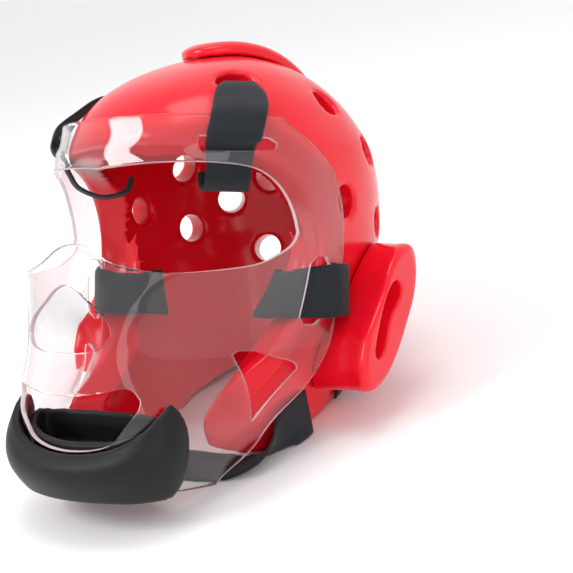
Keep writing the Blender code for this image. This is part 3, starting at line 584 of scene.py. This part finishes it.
facings = {}
sheet = bmesh.new()
bmesh.ops.create_grid(sheet, x_segments=168, y_segments=120, size=1)
for vert in sheet.verts:
    u, v = (vert.co.x + 1) / 2, (vert.co.y + 1) / 2
    vert.co = shieldPlace(u, v)
    facings[vert] = vert.co - shieldFacing(1 - v, 7 * (2 * u - 1)) * shield["thickness"]
sheet.normal_update()
sheetTree = BVHTree.FromBMesh(sheet)
wall(sheet, lambda vert: facings[vert])
visor = pieceFrom(sheet, "clear_face_shield")
for opening in shield["openings"]:
    for side in ((1,) if opening[0] == 0 else (1, -1)):
        carve(visor, pieceFrom(shieldTool(*opening, side), "opening"))
step = visor.modifiers.new("eased edges", "BEVEL")
step.width, step.segments, step.limit_method, step.angle_limit = 0.0007, 2, "ANGLE", radians(50)
step.use_clamp_overlap = True
bake(visor)
visor.data.transform(tipped)
visor.data.materials.append(clearSheet.material)
visor.data.materials.append(paintedEdgeHighlight.material)
untip = tipped.inverted()
for polygon in visor.data.polygons:  # walls of the cuts and the border take the pale pink painted highlight, tinted by a painted reflection of the red foam
    polygon.use_smooth = True
    facing = sheetTree.find_nearest(untip @ polygon.center)[1]
    if abs((untip.to_3x3() @ polygon.normal).dot(facing)) < shield["edgeTurn"]:
        polygon.material_index = 1
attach(visor, "root")
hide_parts("face_shield")
print("clear shield made,", len(visor.data.polygons), "faces")


# Chin pad: a thick bumper over the shield's chin
chin = {"reach": 3.75, "thickness": 0.018, "edge": 0.006, "gap": 0.0010,
        "rise": 0.033, "top": -0.1165,
        "swell": (0.0, 0.55, 0.84, 0.97, 1.0, 1.0, 0.96, 0.82, 0.45), "taper": 0.13}


def chinPlace(u, v):
    across = 2 * u - 1
    topShare = shareOf(chin["top"] + chin["rise"] * abs(across) ** 2.2)
    share = topShare + (1 - topShare) * (1 - v)
    station = chin["reach"] * (1 - chin["taper"] * abs(2 * v - 1) ** 3) * across
    swell = along([(s,) for s in chin["swell"]], (1 - v) * 8)[0]
    bulge = chin["edge"] + (chin["thickness"] - chin["edge"]) * swell * (1 - abs(across) ** 5)
    facing = shieldFacing(share, station)
    chinBacks.append(shieldSpot(share, station) + facing * chin["gap"])
    return chinBacks[-1] + facing * bulge


chinBacks = []
bumper = bmesh.new()
bmesh.ops.create_grid(bumper, x_segments=120, y_segments=56, size=1)
backs = {}
for vert in bumper.verts:
    vert.co = chinPlace((vert.co.x + 1) / 2, (vert.co.y + 1) / 2)
    backs[vert] = chinBacks[-1]
wall(bumper, lambda vert: backs[vert])
chinPad = pieceFrom(bumper, "chin_bumper")
soften(chinPad, meshing["fine"], 5)
finishPiece(chinPad, blackSkin, "black_foam", "chin_pad", fill=foamFill)

# Chin cup: a bowl inside the shield
chinCup = pieceFrom(copyOf("chin_cup"), "chin_bowl")
soften(chinCup, meshing["fine"], 6)
finishPiece(chinCup, blackSkin, "black_foam", "chin_cup", tip=False, fill=0.8)


# Straps: flat webbing with a napped face
strap = {
    "width": 0.038, "thickness": 0.002, "bow": 0.0030,
    "napeWidth": 0.026, "napeRow": 0.80, "gap": 0.0003,
    # paths: middle line in shares of the hood, share of the width, direction of the width
    "forehead": (
        (0.541, -0.478, 0.754, 0.520, 0.660, 0.750, 0.000),
        (0.586, -0.516, 0.793, 0.560, 0.660, 0.750, 0.000),
        (0.644, -0.567, 0.773, 0.850, 0.660, 0.750, 0.000),
        (0.716, -0.638, 0.720, 1.000, 0.660, 0.750, 0.000),
        (0.784, -0.728, 0.654, 1.000, 0.660, 0.750, 0.000),
        (0.795, -0.763, 0.589, 1.000, 0.660, 0.750, 0.000),
        (0.782, -0.772, 0.550, 1.000, 0.660, 0.750, 0.000),
        (0.748, -0.757, 0.521, 0.950, 0.660, 0.750, 0.000),
        (0.721, -0.739, 0.493, 0.900, 0.660, 0.750, 0.000),
        (0.698, -0.720, 0.453, 0.850, 0.660, 0.750, 0.000),
        (0.649, -0.679, 0.391, 0.850, 0.660, 0.750, 0.000),
        (0.541, -0.582, 0.357, 0.850, 0.660, 0.750, 0.000),
        (0.423, -0.493, 0.385, 0.850, 0.660, 0.750, 0.000),
        (0.396, -0.470, 0.442, 0.850, 0.660, 0.750, 0.000),
    ),
    "cheek": (
        (0.495, -0.052, -0.062, 1.000, 0.200, 0.300, 0.930),
        (0.495, -0.142, -0.062, 1.000, 0.250, 0.400, 0.880),
        (0.536, -0.224, -0.062, 1.000, 0.280, 0.420, 0.860),
        (0.640, -0.284, -0.062, 1.000, 0.280, 0.420, 0.860),
        (0.766, -0.306, -0.059, 0.970, 0.280, 0.420, 0.860),
        (0.860, -0.291, -0.057, 0.950, 0.200, 0.300, 0.930),
        (0.937, -0.257, -0.054, 0.970, 0.100, 0.100, 1.000),
        (1.014, -0.205, -0.051, 1.000, 0.000, 0.000, 1.000),
        (1.054, -0.134, -0.045, 1.000, 0.000, 0.000, 1.000),
        (1.052, -0.067, -0.045, 1.000, 0.000, 0.000, 1.000),
        (1.040, -0.022, -0.045, 1.000, 0.000, 0.000, 1.000),
    ),
    "chin": (
        (0.815, -0.127, -0.550, 0.900, 0.000, -0.550, 0.830),
        (0.813, -0.209, -0.572, 0.950, 0.000, -0.660, 0.750),
        (0.793, -0.299, -0.609, 0.920, 0.000, -0.850, 0.500),
        (0.748, -0.373, -0.669, 0.740, 0.000, -0.990, -0.150),
        (0.676, -0.466, -0.729, 0.700, 0.000, -0.950, -0.450),
        (0.541, -0.496, -0.768, 0.860, 0.000, -0.930, -0.390),
        (0.405, -0.500, -0.772, 0.900, 0.000, -0.930, -0.370),
        (0.225, -0.507, -0.775, 0.950, 0.000, -0.930, -0.370),
        (0.000, -0.515, -0.776, 1.000, 0.000, -0.930, -0.370),
        (-0.225, -0.507, -0.775, 0.950, 0.000, -0.930, -0.370),
        (-0.405, -0.500, -0.772, 0.900, 0.000, -0.930, -0.370),
        (-0.541, -0.496, -0.768, 0.860, 0.000, -0.930, -0.390),
        (-0.676, -0.466, -0.729, 0.700, 0.000, -0.950, -0.450),
        (-0.748, -0.373, -0.669, 0.740, 0.000, -0.990, -0.150),
        (-0.793, -0.299, -0.609, 0.920, 0.000, -0.850, 0.500),
        (-0.813, -0.209, -0.572, 0.950, 0.000, -0.660, 0.750),
        (-0.815, -0.127, -0.550, 0.900, 0.000, -0.550, 0.830),
    ),
}


def inMetres(rows):
    return [(x * hood["halfWidth"], hood["middle"] + y * hood["halfLength"], z * hood["crown"], *rest)
            for x, y, z, *rest in rows]


def strapMesh(rows, width, steps, bow=0.0):
    backs = {}
    band = bmesh.new()
    bmesh.ops.create_grid(band, x_segments=12, y_segments=steps, size=1)
    last = len(rows) - 1
    for vert in band.verts:
        side, where = vert.co.x / 2, last * (vert.co.y + 1) / 2
        row = along(rows, where)
        middle = Vector(row[:3])
        run = (Vector(along(rows, where + 0.05)[:3]) - Vector(along(rows, where - 0.05)[:3])).normalized()
        across = Vector(row[4:])
        across = (across - run * across.dot(run)).normalized()
        normal = run.cross(across)
        out = Vector((middle.x, middle.y - hood["middle"], 0)).normalized()
        spot = middle + across * side * width * row[3] - normal * normal.dot(out) * bow * (2 * side) ** 2
        edge = 1 - 0.35 * max(abs(2 * side) - 0.83, 0) / 0.17
        vert.co = spot + normal * strap["thickness"] / 2 * edge
        backs[vert] = spot - normal * strap["thickness"] / 2 * edge
    wall(band, lambda vert: backs[vert])
    return band


def mirrored(mesh):
    twin = mesh.copy()
    bmesh.ops.scale(twin, vec=(-1, 1, 1), verts=twin.verts)
    bmesh.ops.reverse_faces(twin, faces=twin.faces)
    return twin


def napeRows():
    rows = []
    turns = [0.42 + 0.58 * k / 8 for k in range(9)]
    for k, turn in enumerate(turns + turns[-2::-1]):
        point = hoodSpot(strap["napeRow"], turn)
        up = (hoodSpot(strap["napeRow"] + 0.3, turn) - point).normalized()
        out = Vector((point.x, point.y - hood["middle"], 0)).normalized()
        point += out * (strap["thickness"] / 2 + strap["gap"] * 3.5)
        side = 1 if k < len(turns) else -1
        rows.append((side * point.x, point.y, point.z, 1, side * up.x, up.y, up.z))
    return rows


for word, steps, bow in (("forehead", 150, strap["bow"]), ("cheek", 110, 0)):
    band = strapMesh(inMetres(strap[word]), strap["width"], steps, bow)
    twin = mirrored(band)
    finishPiece(pieceFrom(band, word + "_band_left"), webbing, "strap_web", word + "_strap_left")
    finishPiece(pieceFrom(twin, word + "_band_right"), webbing, "strap_web", word + "_strap_right")
finishPiece(pieceFrom(strapMesh(inMetres(strap["chin"]), strap["width"], 220), "chin_band"), webbing,
            "strap_web", "chin_strap")
finishPiece(pieceFrom(strapMesh(napeRows(), strap["napeWidth"], 160), "nape_band"), webbing,
            "strap_web", "nape_strap")


# Stage, light and camera
stageSet = {"floor": 6.0, "lens": 76.4, "turn": 40, "distance": 0.9, "aimOut": 0.040,
            "shift": (0.1265, -0.0131), "world": 0.92}
ground = bmesh.new()
bmesh.ops.create_grid(ground, x_segments=1, y_segments=1, size=stageSet["floor"])
floorPiece = pieceFrom(ground, "floor")
paper = Finish("pale floor")
paper.put(Base_Color=(0.93, 0.93, 0.935, 1), Roughness=0.85)
floorPiece.data.materials.append(paper.material)

world = bpy.data.worlds.new("studio")
bpy.context.scene.world = world
world.use_nodes = True
world.node_tree.nodes["Background"].inputs["Color"].default_value = (1.0, 1.0, 1.0, 1)
world.node_tree.nodes["Background"].inputs["Strength"].default_value = stageSet["world"]

lamps = (
    ("key", (-0.9, -1.3, 1.5), 0.7, 16),
    ("fill", (1.6, -1.1, 0.9), 1.1, 5),
    ("top", (0.1, 0.1, 1.9), 0.8, 8),
)
for name, spot, size, power in lamps:
    light = bpy.data.lights.new(name, "AREA")
    light.shape, light.size, light.energy = "SQUARE", size, power
    lamp = bpy.data.objects.new(name, light)
    bpy.context.scene.collection.objects.link(lamp)
    lamp.location = spot
    lamp.rotation_euler = (Vector((0, 0, 0.12)) - Vector(spot)).to_track_quat("-Z", "Y").to_euler()

turn = radians(stageSet["turn"])
spot = Vector((sin(turn), -cos(turn), 0)) * stageSet["distance"]
aim = Vector((cos(turn), sin(turn), 0)) * stageSet["aimOut"]
back = (spot - aim).normalized()
right = Vector((0, 0, 1)).cross(back).normalized()
rest = Matrix((right, back.cross(right), back)).transposed().to_4x4()
rest.translation = spot
data = bpy.data.cameras.new("camera")
data.lens = stageSet["lens"]
data.shift_x, data.shift_y = stageSet["shift"]
camera = bpy.data.objects.new("camera", data)
bpy.context.scene.collection.objects.link(camera)
camera.matrix_world = tipped @ rest
bpy.context.scene.camera = camera
bpy.context.scene.view_settings.view_transform = "Standard"
print("stage set")
